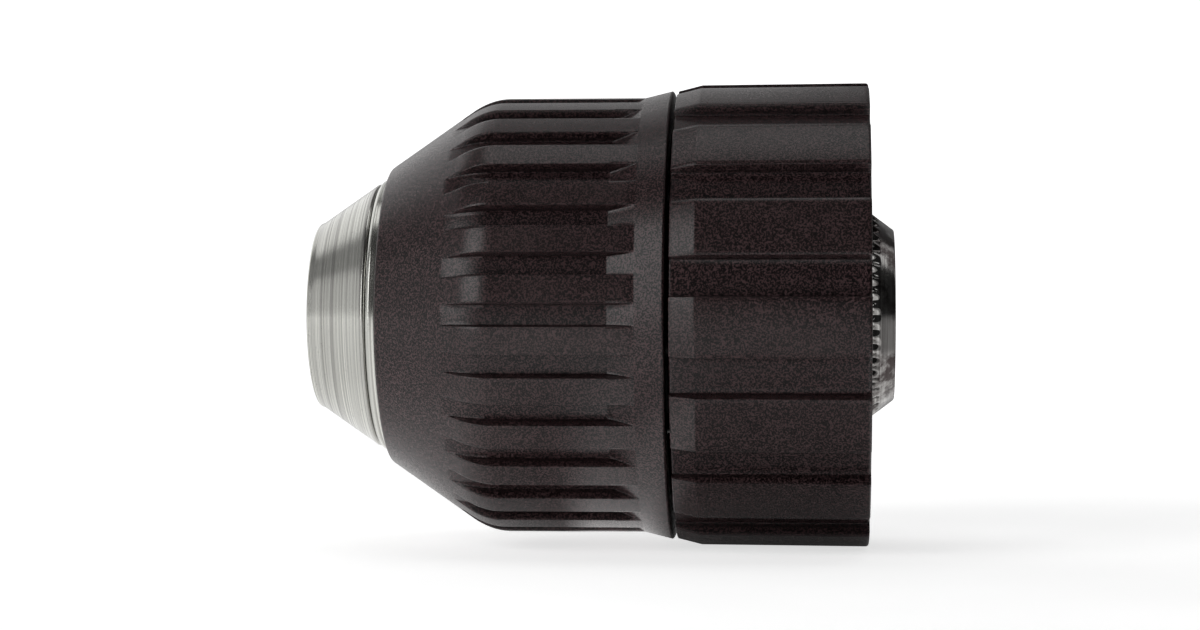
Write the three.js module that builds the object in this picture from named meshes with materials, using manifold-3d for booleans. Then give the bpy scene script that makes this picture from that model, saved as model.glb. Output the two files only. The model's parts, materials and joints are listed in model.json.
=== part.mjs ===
// Keyless drill chuck with two sleeves, three self-centring jaws, a split drive nut
// and a thrust ball bearing. All sizes are millimetres.
//
// The pieces are modelled upright: the chuck axis is local +Y, y = 0 is the rear face
// that seats on the spindle shoulder, and the nose points up +Y. The exported group is
// then turned so that the nose points along -X and +Z stays up.
//
// Angles about the chuck axis are measured from +Z towards +X, which is the way that
// LatheGeometry sweeps its profile. The jaws stand fully open, the rest pose.

import * as THREE from 'three';
import { mergeVertices } from 'three/addons/utils/BufferGeometryUtils.js';
import Module from 'manifold-3d';

const wasm = await Module();
wasm.setup();

// ---------------------------------------------------------------- overall

const LENGTH = 53.5;             // rear seating face to nose face
const FACETS = 42;               // sides of a turned ring
const FINE = 60;                 // sides of the widest turned pieces

// ---------------------------------------------------------------- jaws and their bores

const JAW_COUNT = 3;
const JAW_R = 3.1;               // round jaw stock
const JAW_BORE_R = 3.28;         // guide bore in the body
const JAW_TILT = THREE.MathUtils.degToRad(17.5);
const JAW_SLOPE = Math.tan(JAW_TILT);
const JAW_LENGTH = 27;           // measured along the chuck axis
const JAW_FACETS = 16;
const JAW_BORE_FACETS = 18;
const OPEN_GRIP_R = 5.05;        // jaw faces clear a 10 mm shank when open
const CLOSED_GRIP_R = 0.4;       // smallest drill held is 0.8 mm
const CLOSED_TIP_Y = 59;         // jaw tips stand proud of the nose when closed
const CLOSED_TIP_R = -1;         // jaw centre line at the closed tips
const SECTOR_GAP = 0.17;         // wedge apex off the chuck axis, keeps closed jaws apart
const OPEN_TRAVEL = (OPEN_GRIP_R - CLOSED_GRIP_R) / JAW_SLOPE;
const TIP_Y = CLOSED_TIP_Y - OPEN_TRAVEL;
const TAIL_Y = TIP_Y - JAW_LENGTH;

// Distance of the jaw centre line from the chuck axis at height y.
function jawCentre(y) {
  return CLOSED_TIP_R + (CLOSED_TIP_Y - y) * JAW_SLOPE;
}

// Distance of the jaw's outermost generator from the chuck axis at height y.
function jawOutline(y) {
  return jawCentre(y) + JAW_R / Math.cos(JAW_TILT);
}

// ---------------------------------------------------------------- nut thread

const THREAD_PITCH = 1.5;        // along the chuck axis, right-handed
const THREAD_START_Y = 30;
const THREAD_TURN_FACETS = 24;
const TOOTH_HEIGHT = 0.65;
const TOOTH_ROOT_HALF = 0.375;
const TOOTH_CREST_HALF = 0.15;
const TOOTH_PLAY = 0.12;         // along the axis, each flank
const TOOTH_RADIAL_PLAY = 0.15;

// ---------------------------------------------------------------- body

const SOCKET_R = 5.2;            // central bore for the drill shank
const SOCKET_FLOOR_Y = 22.6;
const PASSAGE_R = 2.9;           // hole between shank bore and spindle thread
const SPINDLE_MAJOR_R = 4.7625;  // 3/8-24 UNF
const SPINDLE_MINOR_R = 4.25;
const SPINDLE_PITCH = 25.4 / 24;
const SPINDLE_DEPTH = 15;
const SPINDLE_TURN_FACETS = 11;   // also the sides of the tapping bore
const KNURL_R = 9.35;
const KNURL_ROOT_R = 8.92;
const KNURL_TEETH = 44;
const KNURL_NECK_R = 8.7;
const KNURL_START_Y = 1.6;
const KNURL_END_Y = 10.2;
const SHANK_R = 9.2;             // plain tail behind the flange
const FLANGE_R = 15.8;
const FLANGE_START_Y = 23;
const FLANGE_END_Y = 27;
const PILOT_R = 12.6;            // step that centres the bearing races
const GROOVE_R = 8;              // floor of the nut groove
const GROOVE_START_Y = 31.05;
const GROOVE_END_Y = 37.6;
const FRONT_R = 11.4;            // front journal, carries the sleeve lip
const RING_SEAT_R = 11.25;
const RING_SEAT_Y = 46.5;
const NOSE_CONE_Y = 47.65;        // back face of the nose cone

// ---------------------------------------------------------------- bearing

const RACE_OUTER_R = 15.5;
const RACE_INNER_R = 12.75;
const RACE_THICK = 1.1;
const BALL_R = 1;
const BALL_COUNT = 12;
const BALL_RING_R = 14.15;
const BALL_Y = FLANGE_END_Y + 2;
const RACE_FACE_OFF = 0.85;      // race faces stand this far from the ball centres
const TRACK_R = 1.06;
const CAGE_HALF = 0.5;
const CAGE_INNER_R = 12.85;
const CAGE_OUTER_R = 15.45;
const CAGE_HOLE_R = 1.09;

// ---------------------------------------------------------------- nut

const NUT_START_Y = 31.25;
const NUT_END_Y = 37.4;
const NUT_STEP_Y = 34.35;        // rear edge of the drive flange
const NUT_REAR_R = 14.1;
const NUT_FLANGE_R = 15.6;
const NUT_BORE_PLAY = 0.14;
const NUT_SPLIT_GAP = 0.12;
const BAND_INNER_R = 14.2;
const SLOT_FLOOR_R = 13.75;
const SLOT_WIDTH = 4.3;
const DOG_WIDTH = 3.8;
const DOG_INNER_R = 14;
const DOG_COUNT = 2;

// ---------------------------------------------------------------- front sleeve

const FRONT_RIBS = 28;
const FRONT_LAND_R = 20.17;
const FRONT_FLOOR_R = 19.15;
const FRONT_GROOVE_HALF = 0.92;  // half width at the floor
const FRONT_GROOVE_TOP = 1.02;   // half width at the land
const FRONT_START_Y = 20.24;
const FRONT_FLARE_R = 20.82;
const FRONT_FLARE_END_Y = 22.9;
const FRONT_RAMP_START_Y = 22.9;
const FRONT_RAMP_END_Y = 25.26;
const FRONT_BLEND_Y = 35.42;
const FRONT_CONE_Y = 38.87;
const FRONT_TIP_Y = 46.44;
const FRONT_CONE_SLOPE = 0.685;
const FRONT_CONE_REF_R = 14.25;  // cone radius at y = 45.77
const FRONT_CONE_REF_Y = 45.77;
const FRONT_INNER_R = 16.35;
const FRONT_MOUTH_R = 17.6;
const FRONT_WALL = 2.7;          // radial wall of the conical end
const LIP_R = 11.65;
const LIP_Y = 44.8;

// ---------------------------------------------------------------- rear sleeve

const REAR_LANDS = 15;
const REAR_START_Y = 2.35;
const REAR_END_Y = 19.84;
const REAR_BACK_R = 21.42;
const REAR_FRONT_R = 21.32;
const REAR_CHAMFER_Y = 17.6;
const REAR_CHAMFER_R = 20.76;
const REAR_FLOOR_R = 20.3;
const REAR_GROOVE_HALF = 1.6;
const REAR_GROOVE_TOP = 1.78;
const REAR_LAND_ANGLE = THREE.MathUtils.degToRad(-92.9);
const REAR_INNER_R = 18.4;
const REAR_WEB_Y = 5;
const REAR_HUB_R = 12.2;
const REAR_HUB_Y = 9.6;
const REAR_BORE_R = 9.42;

// ---------------------------------------------------------------- nose ring

const RING_START_Y = 46.55;
const RING_END_Y = 47.6;
const RING_OUTER_R = 12.65;
const RING_INNER_R = 11.32;

// ================================================================ tools

// A closed manifold from a three.js geometry.
function solidOf(geometry) {
  const bare = geometry.clone();
  bare.deleteAttribute('normal');
  bare.deleteAttribute('uv');
  const merged = mergeVertices(bare, 1e-5);
  const source = merged.index.array;
  const kept = [];
  for (let i = 0; i < source.length; i += 3) {
    const [a, b, c] = [source[i], source[i + 1], source[i + 2]];
    if (a !== b && b !== c && c !== a) {
      kept.push(a, b, c);
    }
  }
  const mesh = new wasm.Mesh({
    numProp: 3,
    vertProperties: new Float32Array(merged.attributes.position.array),
    triVerts: new Uint32Array(kept)
  });
  return new wasm.Manifold(mesh);
}

// A three.js geometry from a closed manifold, with flat faces.
function geometryOf(solid) {
  const mesh = solid.getMesh();
  const geometry = new THREE.BufferGeometry();
  geometry.setAttribute('position', new THREE.BufferAttribute(mesh.vertProperties, mesh.numProp));
  geometry.setIndex(new THREE.BufferAttribute(mesh.triVerts, 1));
  const flat = geometry.toNonIndexed();
  flat.computeVertexNormals();
  return flat;
}

// Adds all the solids of a list together.
function sum(solids) {
  return solids.reduce((total, next) => total.add(next));
}

// The largest body of a solid, without the chips that a cut can leave.
function withoutChips(solid) {
  return solid.decompose().reduce((best, next) => (next.volume() > best.volume() ? next : best));
}

// A turned piece: the closed outline [[radius, y], ...] swept about the chuck axis.
function turned(outline, facets = FACETS) {
  const points = outline.map(([r, y]) => new THREE.Vector2(r, y));
  if (THREE.ShapeUtils.area(points) < 0) {
    points.reverse();
  }
  points.push(points[0].clone());
  return solidOf(new THREE.LatheGeometry(points, facets));
}

// A ring with a plain rectangular section.
function plainRing(innerR, outerR, startY, endY, facets = FACETS) {
  const outline = [[innerR, startY], [outerR, startY], [outerR, endY], [innerR, endY]];
  return turned(outline, facets);
}

// A prism along the chuck axis. The outline is [[x, z], ...] seen along the axis.
function prism(outline, startY, endY) {
  const shape = new THREE.Shape(outline.map(([x, z]) => new THREE.Vector2(x, -z)));
  const geometry = new THREE.ExtrudeGeometry(shape, { depth: endY - startY, bevelEnabled: false });
  geometry.rotateX(-Math.PI / 2);
  geometry.translate(0, startY, 0);
  return solidOf(geometry);
}

// A channel whose side outline [[y, z], ...] is extruded across x and narrowed towards
// its floor, then turned to an angle about the chuck axis.
function channel(outline, floorZ, topZ, floorHalf, topHalf, angle) {
  const shape = new THREE.Shape(outline.map(([y, z]) => new THREE.Vector2(y, z)));
  const geometry = new THREE.ExtrudeGeometry(shape, { depth: 2, bevelEnabled: false });
  const position = geometry.attributes.position;
  for (let i = 0; i < position.count; i += 1) {
    const y = position.getX(i);
    const z = position.getY(i);
    const side = position.getZ(i) - 1;
    const share = (z - floorZ) / (topZ - floorZ);
    position.setXYZ(i, side * (floorHalf + (topHalf - floorHalf) * share), y, z);
  }
  geometry.rotateY(angle);
  return solidOf(geometry);
}

// A cylinder along a jaw's centre line at angle, between two heights.
function jawCylinder(radius, startY, endY, angle, facets) {
  const middle = (startY + endY) / 2;
  const length = (endY - startY) / Math.cos(JAW_TILT);
  const geometry = new THREE.CylinderGeometry(radius, radius, length, facets);
  geometry.rotateX(-JAW_TILT);
  geometry.translate(0, middle, jawCentre(middle));
  geometry.rotateY(angle);
  return solidOf(geometry);
}

// A right-handed helix about the chuck axis. radiusAt gives its radius at each height.
// Its frames keep the section's first axis radial, so that a thread doesn't twist.
class Helix extends THREE.Curve {
  constructor(pitch, startY, startAngle, endAngle, radiusAt) {
    super();
    this.pitch = pitch;
    this.startY = startY;
    this.startAngle = startAngle;
    this.endAngle = endAngle;
    this.radiusAt = radiusAt;
  }

  angleAt(t) {
    return this.startAngle + (this.endAngle - this.startAngle) * t;
  }

  getPoint(t, target = new THREE.Vector3()) {
    const angle = this.angleAt(t);
    const y = this.startY + (this.pitch * angle) / (2 * Math.PI);
    const r = this.radiusAt(y);
    return target.set(r * Math.sin(angle), y, r * Math.cos(angle));
  }

  getUtoTmapping(u) {
    return u;
  }

  computeFrenetFrames(segments) {
    const tangents = [];
    const normals = [];
    const binormals = [];
    for (let i = 0; i <= segments; i += 1) {
      const angle = this.angleAt(i / segments);
      tangents.push(new THREE.Vector3(Math.cos(angle), 0, -Math.sin(angle)));
      normals.push(new THREE.Vector3(Math.sin(angle), 0, Math.cos(angle)));
      binormals.push(new THREE.Vector3(0, -1, 0));
    }
    return { tangents, normals, binormals };
  }
}

// A bar swept along a helix. Its section [[radial, axial], ...] is symmetric along the axis.
function threadBar(helix, section, facetsPerTurn) {
  const turns = (helix.endAngle - helix.startAngle) / (2 * Math.PI);
  const shape = new THREE.Shape(section.map(([r, y]) => new THREE.Vector2(r, y)));
  const steps = Math.max(2, Math.round(turns * facetsPerTurn));
  return solidOf(new THREE.ExtrudeGeometry(shape, { steps, extrudePath: helix }));
}

const jawAngles = Array.from({ length: JAW_COUNT }, (_, i) => (2 * Math.PI * i) / JAW_COUNT);

// ================================================================ body

const bodyOutline = [
  [0, 0], [7.85, 0], [KNURL_NECK_R, 1.05], [KNURL_NECK_R, KNURL_END_Y], [SHANK_R, KNURL_END_Y],
  [SHANK_R, 17], [12, FLANGE_START_Y], [FLANGE_R - 0.4, FLANGE_START_Y],
  [FLANGE_R, FLANGE_START_Y + 0.4], [FLANGE_R, FLANGE_END_Y],
  [PILOT_R, FLANGE_END_Y], [PILOT_R, GROOVE_START_Y], [GROOVE_R, GROOVE_START_Y],
  [GROOVE_R, GROOVE_END_Y], [FRONT_R, GROOVE_END_Y], [FRONT_R, RING_SEAT_Y],
  [RING_SEAT_R, RING_SEAT_Y], [RING_SEAT_R, NOSE_CONE_Y], [12.1, NOSE_CONE_Y],
  [12.25, NOSE_CONE_Y + 0.25], [8.95, 52.65], [8.55, 53.25], [8.3, LENGTH], [0, LENGTH]
];

// The straight knurl that the rear sleeve is pressed on.
function knurl() {
  const outline = Array.from({ length: 2 * KNURL_TEETH }, (_, i) => {
    const r = i % 2 ? KNURL_R : KNURL_ROOT_R;
    const angle = (Math.PI * i) / KNURL_TEETH;
    return [r * Math.sin(angle), r * Math.cos(angle)];
  });
  return prism(outline, KNURL_START_Y, KNURL_END_Y);
}

// The drill shank's bore and the narrower passage behind it.
function shankBore() {
  return turned([
    [0, SPINDLE_DEPTH - 1], [PASSAGE_R, SPINDLE_DEPTH - 1], [PASSAGE_R, SOCKET_FLOOR_Y - 1.3],
    [SOCKET_R, SOCKET_FLOOR_Y], [SOCKET_R, LENGTH - 0.4], [SOCKET_R + 0.4, LENGTH],
    [SOCKET_R + 0.4, LENGTH + 1], [0, LENGTH + 1]
  ], 36);
}

// The tapping bore for the spindle, countersunk at the rear face.
function spindleBore() {
  return turned([
    [0, -1], [SPINDLE_MAJOR_R + 0.25, -1], [SPINDLE_MAJOR_R + 0.25, 0], [SPINDLE_MINOR_R, 0.83],
    [SPINDLE_MINOR_R, SPINDLE_DEPTH], [0, SPINDLE_DEPTH + 2]
  ], SPINDLE_TURN_FACETS);
}

function spindleThread() {
  const turns = Math.floor(SPINDLE_DEPTH / SPINDLE_PITCH);
  const helix = new Helix(SPINDLE_PITCH, -0.7, 0, 2 * Math.PI * turns, () => SPINDLE_MINOR_R);
  const depth = SPINDLE_MAJOR_R - SPINDLE_MINOR_R;
  const half = SPINDLE_PITCH / 2 - 0.1;
  return threadBar(helix, [[-0.12, -half], [depth, -0.08], [depth, 0.08], [-0.12, half]], SPINDLE_TURN_FACETS);
}

function chuckBody() {
  const jawBores = jawAngles.map((angle) => jawCylinder(JAW_BORE_R, 6, 57, angle, JAW_BORE_FACETS));
  return turned(bodyOutline)
    .add(knurl())
    .subtract(shankBore())
    .subtract(spindleBore())
    .subtract(spindleThread())
    .subtract(sum(jawBores));
}

// ================================================================ jaws

// The height at which the nut's thread ridge of turn number k crosses an angle.
function ridgeY(angle, k) {
  return THREAD_START_Y + THREAD_PITCH * (angle / (2 * Math.PI) + k);
}

// The gaps between a jaw's teeth: each a short arc of the nut's thread, with play.
function toothGaps(angle) {
  const crest = TOOTH_CREST_HALF + TOOTH_PLAY;
  const root = TOOTH_ROOT_HALF + TOOTH_PLAY;
  const depth = TOOTH_HEIGHT + TOOTH_RADIAL_PLAY;
  const above = 0.6;
  const flare = root + ((root - crest) * above) / depth;
  const section = [[-depth, -crest], [above, -flare], [above, flare], [-depth, crest]];
  const middle = (NUT_START_Y + NUT_END_Y) / 2;
  const arcR = jawOutline(middle);
  const reach = 0.3;
  const firstK = Math.ceil((TAIL_Y + 0.6 - ridgeY(angle, 0)) / THREAD_PITCH);
  const lastK = Math.floor((NUT_END_Y + 0.8 - ridgeY(angle, 0)) / THREAD_PITCH);
  const gaps = [];
  for (let k = firstK; k <= lastK; k += 1) {
    const y = ridgeY(angle, k);
    const startY = y - (THREAD_PITCH * angle) / (2 * Math.PI);
    const helix = new Helix(THREAD_PITCH, startY, angle - reach, angle + reach, () => arcR);
    const shift = jawOutline(y) - arcR;
    const bar = threadBar(helix, section, THREAD_TURN_FACETS * 1.3);
    gaps.push(bar.translate([shift * Math.sin(angle), 0, shift * Math.cos(angle)]));
  }
  return sum(gaps);
}

// The 120 degree sector that a jaw may fill, with the narrow land that grips the drill.
function jawSector(angle) {
  const open = OPEN_GRIP_R - CLOSED_GRIP_R;
  const apex = open + SECTOR_GAP;
  const spread = Math.tan(Math.PI / 3);
  const landHalf = (OPEN_GRIP_R - apex) * spread;
  const wide = 8;
  const corner = apex + wide / spread;
  const outline = [
    [-landHalf, OPEN_GRIP_R], [landHalf, OPEN_GRIP_R], [wide, corner],
    [wide, 20], [-wide, 20], [-wide, corner]
  ];
  const turn = ([x, z]) => [
    x * Math.cos(angle) + z * Math.sin(angle),
    z * Math.cos(angle) - x * Math.sin(angle)
  ];
  return prism(outline.map(turn), TAIL_Y - 5, TIP_Y);
}

function jaw(angle) {
  return jawCylinder(JAW_R, TAIL_Y, TIP_Y + 4, angle, JAW_FACETS)
    .intersect(jawSector(angle))
    .subtract(toothGaps(angle));
}

// ================================================================ bearing

// A race with a rounded ball track in its face. side is +1 when the track faces the nose.
function race(side) {
  const faceY = BALL_Y - side * RACE_FACE_OFF;
  const backY = faceY - side * RACE_THICK;
  const reach = Math.acos(RACE_FACE_OFF / TRACK_R);
  const track = [];
  for (let i = 0; i <= 4; i += 1) {
    const angle = reach * (1 - i / 2);
    track.push([BALL_RING_R + TRACK_R * Math.sin(angle), BALL_Y - side * TRACK_R * Math.cos(angle)]);
  }
  return turned([[RACE_INNER_R, backY], [RACE_OUTER_R, backY], [RACE_OUTER_R, faceY], ...track,
    [RACE_INNER_R, faceY]]);
}

function ballPlace(i) {
  const angle = (2 * Math.PI * (i + 0.5)) / BALL_COUNT;
  return new THREE.Vector3(BALL_RING_R * Math.sin(angle), BALL_Y, BALL_RING_R * Math.cos(angle));
}

function ballCage() {
  const pockets = Array.from({ length: BALL_COUNT }, (_, i) => {
    const place = ballPlace(i);
    const geometry = new THREE.CylinderGeometry(CAGE_HOLE_R, CAGE_HOLE_R, 4 * CAGE_HALF, 12);
    geometry.translate(place.x, place.y, place.z);
    return solidOf(geometry);
  });
  return plainRing(CAGE_INNER_R, CAGE_OUTER_R, BALL_Y - CAGE_HALF, BALL_Y + CAGE_HALF)
    .subtract(sum(pockets));
}

// ================================================================ nut

function nutThread() {
  const turns = Math.ceil((NUT_END_Y - THREAD_START_Y) / THREAD_PITCH + 1);
  const helix = new Helix(THREAD_PITCH, THREAD_START_Y, 0, 2 * Math.PI * turns, jawOutline);
  const buried = 0.5;
  const flare = TOOTH_ROOT_HALF + ((TOOTH_ROOT_HALF - TOOTH_CREST_HALF) * buried) / TOOTH_HEIGHT;
  const section = [
    [-TOOTH_HEIGHT, -TOOTH_CREST_HALF], [buried, -flare],
    [buried, flare], [-TOOTH_HEIGHT, TOOTH_CREST_HALF]
  ];
  return threadBar(helix, section, THREAD_TURN_FACETS);
}

function wholeNut() {
  const blank = turned([
    [0, NUT_START_Y], [NUT_REAR_R, NUT_START_Y], [NUT_REAR_R, NUT_STEP_Y],
    [NUT_FLANGE_R, NUT_STEP_Y], [NUT_FLANGE_R, NUT_END_Y], [0, NUT_END_Y]
  ], FACETS);
  const bore = turned([
    [0, NUT_START_Y - 1], [jawOutline(NUT_START_Y - 1) + NUT_BORE_PLAY, NUT_START_Y - 1],
    [jawOutline(NUT_END_Y + 1) + NUT_BORE_PLAY, NUT_END_Y + 1], [0, NUT_END_Y + 1]
  ], THREAD_TURN_FACETS);
  const slots = [0, Math.PI].map((angle) => {
    const half = SLOT_WIDTH / 2;
    const side = [
      [NUT_STEP_Y - 0.05, SLOT_FLOOR_R], [NUT_END_Y + 1, SLOT_FLOOR_R],
      [NUT_END_Y + 1, 18], [NUT_STEP_Y - 0.05, 18]
    ];
    return channel(side, SLOT_FLOOR_R, 18, half, half, angle);
  });
  return blank.subtract(bore.subtract(nutThread())).subtract(sum(slots));
}

// One half of the split nut. side is +1 for the half towards +Z.
function nutHalf(side) {
  const wide = 20;
  const cut = NUT_SPLIT_GAP / 2;
  const half = [[-wide, side * cut], [wide, side * cut], [wide, side * wide], [-wide, side * wide]];
  const block = prism(side > 0 ? half : half.reverse(), NUT_START_Y - 1, NUT_END_Y + 1);
  return withoutChips(wholeNut().intersect(block));
}

// ================================================================ sleeves

// Radius of the front sleeve's conical end at height y.
function frontCone(y) {
  return FRONT_CONE_REF_R + FRONT_CONE_SLOPE * (FRONT_CONE_REF_Y - y);
}

// The rounded shoulder between the front sleeve's cylinder and cone.
function frontShoulder() {
  const points = [];
  const steps = 3;
  for (let i = 0; i <= steps; i += 1) {
    const share = i / steps;
    const y = FRONT_BLEND_Y + (FRONT_CONE_Y - FRONT_BLEND_Y) * share;
    const drop = FRONT_LAND_R - frontCone(FRONT_CONE_Y);
    points.push([FRONT_LAND_R - drop * share * share, y]);
  }
  return points;
}

function frontSleeve() {
  const shell = turned([
    [FRONT_MOUTH_R, FRONT_START_Y], [FRONT_FLARE_R - 0.2, FRONT_START_Y], [FRONT_FLARE_R, FRONT_START_Y + 0.2],
    [FRONT_LAND_R + 0.25, FRONT_START_Y + 1.1], [FRONT_LAND_R, FRONT_FLARE_END_Y], ...frontShoulder(),
    [frontCone(FRONT_TIP_Y - 0.15), FRONT_TIP_Y - 0.15], [13.55, FRONT_TIP_Y],
    [LIP_R, FRONT_TIP_Y], [LIP_R, LIP_Y], [frontCone(LIP_Y) - FRONT_WALL + 0.35, LIP_Y],
    [FRONT_INNER_R, 40.4], [FRONT_INNER_R, 22.5], [FRONT_MOUTH_R, 21.2]
  ], FRONT_RIBS * 2);
  const grooves = Array.from({ length: FRONT_RIBS }, (_, i) => {
    const side = [
      [FRONT_RAMP_START_Y - 1.37, FRONT_LAND_R + 0.6], [FRONT_RAMP_END_Y, FRONT_FLOOR_R],
      [42, FRONT_FLOOR_R], [42, FRONT_LAND_R + 0.6]
    ];
    const angle = (2 * Math.PI * i) / FRONT_RIBS;
    return channel(side, FRONT_FLOOR_R, FRONT_LAND_R, FRONT_GROOVE_HALF, FRONT_GROOVE_TOP, angle);
  });
  return shell.subtract(sum(grooves)).add(sum(driveDogs()));
}

// The two keys inside the front sleeve that turn the nut.
function driveDogs() {
  return Array.from({ length: DOG_COUNT }, (_, i) => {
    const side = [
      [NUT_STEP_Y + 0.35, DOG_INNER_R], [40, DOG_INNER_R], [41.6, FRONT_INNER_R - 0.6],
      [41.4, FRONT_INNER_R + 0.4], [NUT_STEP_Y + 0.35, FRONT_INNER_R + 0.4]
    ];
    const half = DOG_WIDTH / 2;
    return channel(side, DOG_INNER_R, FRONT_INNER_R, half, half, (2 * Math.PI * i) / DOG_COUNT);
  });
}

function rearSleeve() {
  const shell = turned([
    [REAR_BORE_R, REAR_START_Y], [REAR_BACK_R - 0.3, REAR_START_Y], [REAR_BACK_R, REAR_START_Y + 0.3],
    [REAR_FRONT_R, REAR_CHAMFER_Y], [REAR_CHAMFER_R, REAR_END_Y], [REAR_INNER_R, REAR_END_Y],
    [REAR_INNER_R, REAR_WEB_Y], [REAR_HUB_R, REAR_WEB_Y], [REAR_HUB_R, REAR_HUB_Y],
    [REAR_BORE_R, REAR_HUB_Y]
  ], FINE);
  const grooves = Array.from({ length: REAR_LANDS }, (_, i) => {
    const side = [
      [REAR_START_Y - 1, REAR_FLOOR_R], [REAR_END_Y + 1, REAR_FLOOR_R],
      [REAR_END_Y + 1, REAR_BACK_R + 0.5], [REAR_START_Y - 1, REAR_BACK_R + 0.5]
    ];
    const angle = REAR_LAND_ANGLE + (2 * Math.PI * (i + 0.5)) / REAR_LANDS;
    return channel(side, REAR_FLOOR_R, REAR_BACK_R, REAR_GROOVE_HALF, REAR_GROOVE_TOP, angle);
  });
  return shell.subtract(sum(grooves));
}

// ================================================================ nose ring

function noseRing() {
  return turned([
    [RING_INNER_R, RING_START_Y], [RING_OUTER_R - 0.1, RING_START_Y], [RING_OUTER_R, RING_START_Y + 0.1],
    [RING_OUTER_R, RING_END_Y - 0.4], [RING_OUTER_R - 0.3, RING_END_Y], [RING_INNER_R, RING_END_Y]
  ]);
}

// ================================================================ materials

const finish = {
  steel: { color: 0xc9c9c5, roughness: 0.28, metalness: 1 },
  darkSteel: { color: 0x5a5856, roughness: 0.42, metalness: 1 },
  bearingSteel: { color: 0xb8babd, roughness: 0.16, metalness: 1 },
  brass: { color: 0xa88a4c, roughness: 0.4, metalness: 1 },
  plastic: { color: 0x2c2524, roughness: 0.62, metalness: 0 }
};

function part(name, solid, look) {
  const mesh = new THREE.Mesh(geometryOf(solid), new THREE.MeshStandardMaterial(look));
  mesh.name = name;
  return mesh;
}

// ================================================================ assembly

const fixed = new THREE.Group();
fixed.add(part('chuck_body', chuckBody(), finish.steel));
fixed.add(part('nose_ring', noseRing(), finish.steel));
fixed.add(part('rear_sleeve', rearSleeve(), finish.plastic));
fixed.add(part('rear_race', race(1), finish.bearingSteel));

const turning = new THREE.Group();
turning.add(part('front_sleeve', frontSleeve(), finish.plastic));
turning.add(part('nut_half_a', nutHalf(1), finish.darkSteel));
turning.add(part('nut_half_b', nutHalf(-1), finish.darkSteel));
turning.add(part('nut_band', plainRing(BAND_INNER_R, NUT_FLANGE_R, NUT_START_Y + 0.1, NUT_STEP_Y - 0.1),
  finish.steel));
turning.add(part('front_race', race(-1), finish.bearingSteel));

const rolling = new THREE.Group();
rolling.add(part('ball_cage', ballCage(), finish.brass));
for (let i = 0; i < BALL_COUNT; i += 1) {
  const ball = part(`ball_${String(i + 1).padStart(2, '0')}`, solidOf(new THREE.SphereGeometry(BALL_R, 10, 6)),
    finish.bearingSteel);
  ball.position.copy(ballPlace(i));
  rolling.add(ball);
}

const jaws = new THREE.Group();
jawAngles.forEach((angle, i) => {
  jaws.add(part(`jaw_${i + 1}`, jaw(angle), finish.darkSteel));
});

const group = new THREE.Group();
group.add(fixed, turning, rolling, jaws);
group.rotation.z = Math.PI / 2;

export default group;
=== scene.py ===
# Looks of a keyless drill chuck: detailed pieces, materials, light and camera.
# Blender works in metres; the shapes below are given in millimetres along the chuck
# axis, y towards the nose, with angles from +Z towards +Y.
import json
import math

import bmesh
import bpy
import numpy as np
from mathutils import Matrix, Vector

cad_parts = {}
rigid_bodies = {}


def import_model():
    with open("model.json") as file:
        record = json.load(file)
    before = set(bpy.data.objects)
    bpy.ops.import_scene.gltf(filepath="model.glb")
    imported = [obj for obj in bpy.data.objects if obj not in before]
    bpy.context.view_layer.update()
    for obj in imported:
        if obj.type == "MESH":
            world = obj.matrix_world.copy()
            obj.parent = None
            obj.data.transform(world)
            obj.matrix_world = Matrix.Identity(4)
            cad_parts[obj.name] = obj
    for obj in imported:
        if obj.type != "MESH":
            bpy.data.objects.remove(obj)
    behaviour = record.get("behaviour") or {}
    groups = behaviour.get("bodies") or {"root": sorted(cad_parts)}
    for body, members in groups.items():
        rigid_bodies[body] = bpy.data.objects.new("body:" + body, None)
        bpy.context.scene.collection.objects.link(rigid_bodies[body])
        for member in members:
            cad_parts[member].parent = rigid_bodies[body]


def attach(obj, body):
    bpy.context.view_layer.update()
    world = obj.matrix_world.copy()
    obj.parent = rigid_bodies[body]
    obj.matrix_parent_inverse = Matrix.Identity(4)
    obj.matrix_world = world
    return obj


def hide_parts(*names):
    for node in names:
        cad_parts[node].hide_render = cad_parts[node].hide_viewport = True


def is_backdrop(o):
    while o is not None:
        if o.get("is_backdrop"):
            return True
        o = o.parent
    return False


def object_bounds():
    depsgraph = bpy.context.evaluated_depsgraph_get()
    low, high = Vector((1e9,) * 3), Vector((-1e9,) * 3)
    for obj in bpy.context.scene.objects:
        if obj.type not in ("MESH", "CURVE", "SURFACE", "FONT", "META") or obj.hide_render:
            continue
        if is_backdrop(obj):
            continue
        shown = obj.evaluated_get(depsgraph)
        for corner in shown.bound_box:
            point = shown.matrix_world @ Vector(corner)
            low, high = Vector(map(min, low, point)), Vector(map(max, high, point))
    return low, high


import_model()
CAD_LOW, CAD_HIGH = (list(map(float, corner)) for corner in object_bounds())

MM = 0.001
rad = math.radians

# ------------------------------------------------------------------ mesh helpers


def smooth(t):
    """Smooth step from 0 to 1 over t in 0..1."""
    t = np.clip(t, 0.0, 1.0)
    return t * t * (3 - 2 * t)


def at(r, y, angle):
    """World metres of a point at radius r, height y and angle about the chuck axis."""
    r, y, angle = np.broadcast_arrays(r, y, angle)
    return np.stack([-y, r * np.sin(angle), r * np.cos(angle)], axis=-1) * MM


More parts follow.
